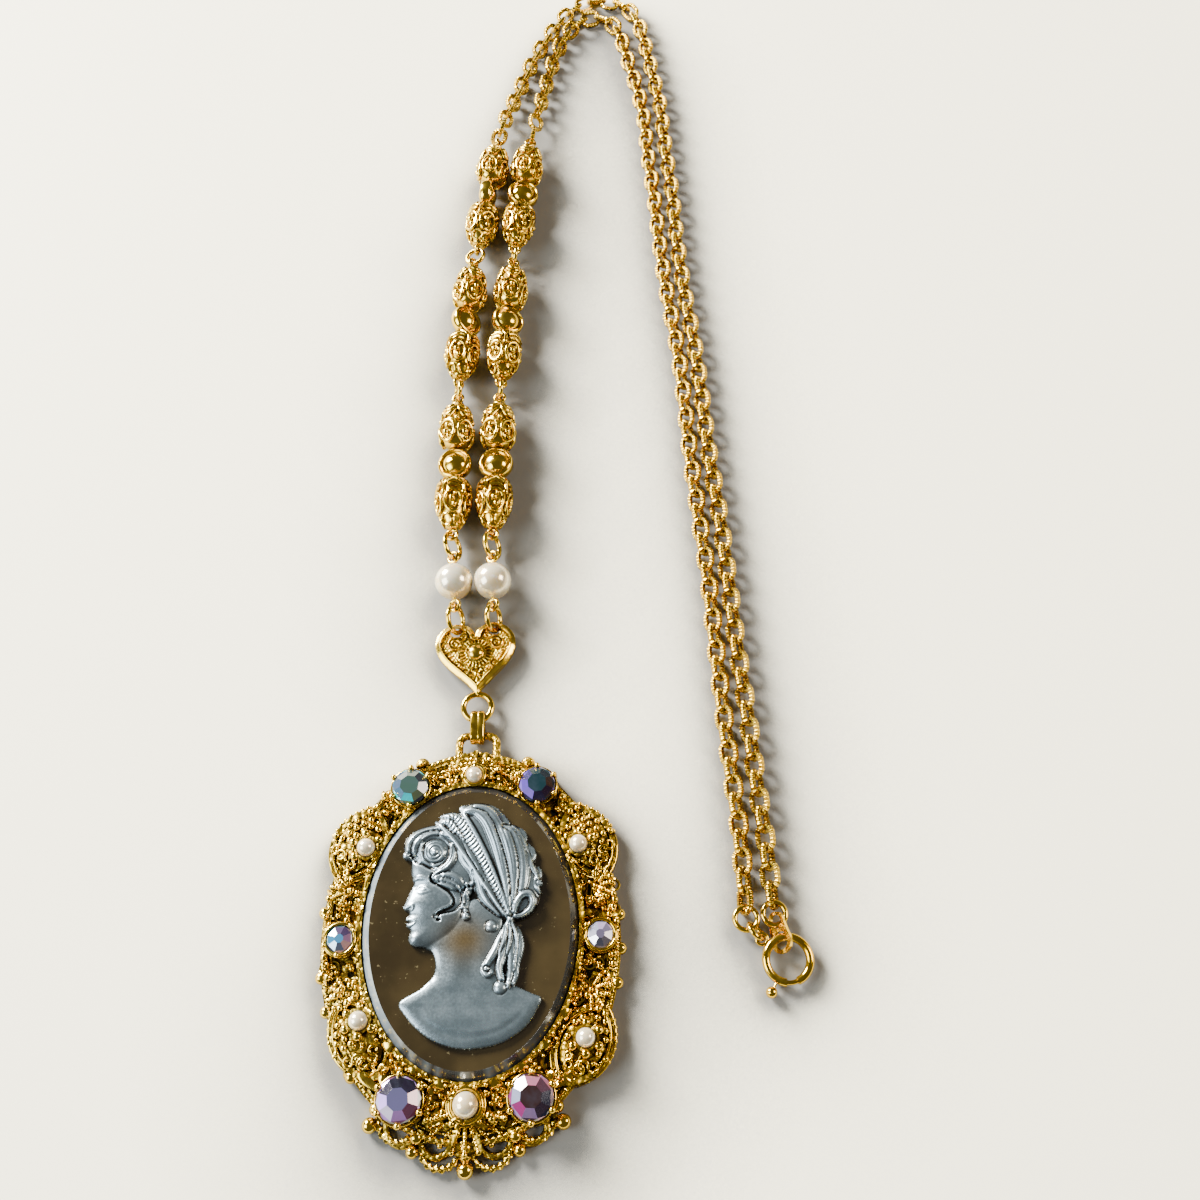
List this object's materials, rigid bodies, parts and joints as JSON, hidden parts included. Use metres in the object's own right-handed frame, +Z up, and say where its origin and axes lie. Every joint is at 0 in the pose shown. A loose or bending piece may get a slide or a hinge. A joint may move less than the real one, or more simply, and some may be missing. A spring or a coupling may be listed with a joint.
{
  "type": "cameo pendant necklace",
  "caption": "Oval gilt filigree pendant set with a moulded glass cameo, stones and pearls, hung from a heart connector on pearl, filigree bar and cable chain strands with a spring ring clasp.",
  "frame": {"origin": "middle of the pendant's flat back, under the middle of the cameo, on the surface it lies on", "axes": "+Z up from the surface towards the viewer, +Y from the pendant along the strands, +X to the viewer's right"},
  "size_m": [0.0689, 0.221, 0.006],
  "materials": {
    "antique_gilt": "antique gilt, dark in the recesses",
    "bright_gilt": "polished gilt",
    "cameo_glass": "dark moulded glass with a satin grey relief",
    "cut_stone": "faceted, iridescent coating",
    "pearl": "soft pearl lustre"
  },
  "bodies": {
    "necklace": {"frame": "antique_gilt", "cameo": "cameo_glass", "bail": "antique_gilt", "heart": "antique_gilt", "frame_pearl_1": "pearl", "frame_pearl_2": "pearl", "frame_pearl_3": "pearl", "frame_pearl_4": "pearl", "frame_pearl_5": "pearl", "frame_pearl_6": "pearl", "stone_1": "cut_stone", "stone_2": "cut_stone", "stone_3": "cut_stone", "stone_4": "cut_stone", "stone_5": "cut_stone", "stone_6": "cut_stone", "heart_jump_left": "antique_gilt", "pearl_left": "pearl", "eye_pin_left": "antique_gilt", "pearl_jump_left": "antique_gilt", "bar_left_1": "antique_gilt", "bar_left_2": "antique_gilt", "bar_left_3": "antique_gilt", "bar_jump_left_1": "antique_gilt", "bar_jump_left_2": "antique_gilt", "chain_left": "antique_gilt", "heart_jump_right": "antique_gilt", "pearl_right": "pearl", "eye_pin_right": "antique_gilt", "pearl_jump_right": "antique_gilt", "bar_right_1": "antique_gilt", "bar_right_2": "antique_gilt", "bar_right_3": "antique_gilt", "bar_jump_right_1": "antique_gilt", "bar_jump_right_2": "antique_gilt", "chain_right": "antique_gilt", "end_ring_left": "bright_gilt", "end_ring_right": "bright_gilt", "clasp_link": "bright_gilt", "clasp_tag": "bright_gilt", "spring_ring": "bright_gilt"},
    "clasp_bolt": {"clasp_bolt": "bright_gilt"}
  },
  "joints": [
    {"name": "bolt_draw", "type": "hinge", "parent": "necklace", "child": "clasp_bolt", "pos_m": [0.0439, -0.005, 0.0013], "axis": [0.0248, -0.0926, 0.9954], "range_deg": [-34, 0], "stiffness_Nm_per_rad": 0.004}
  ]
}
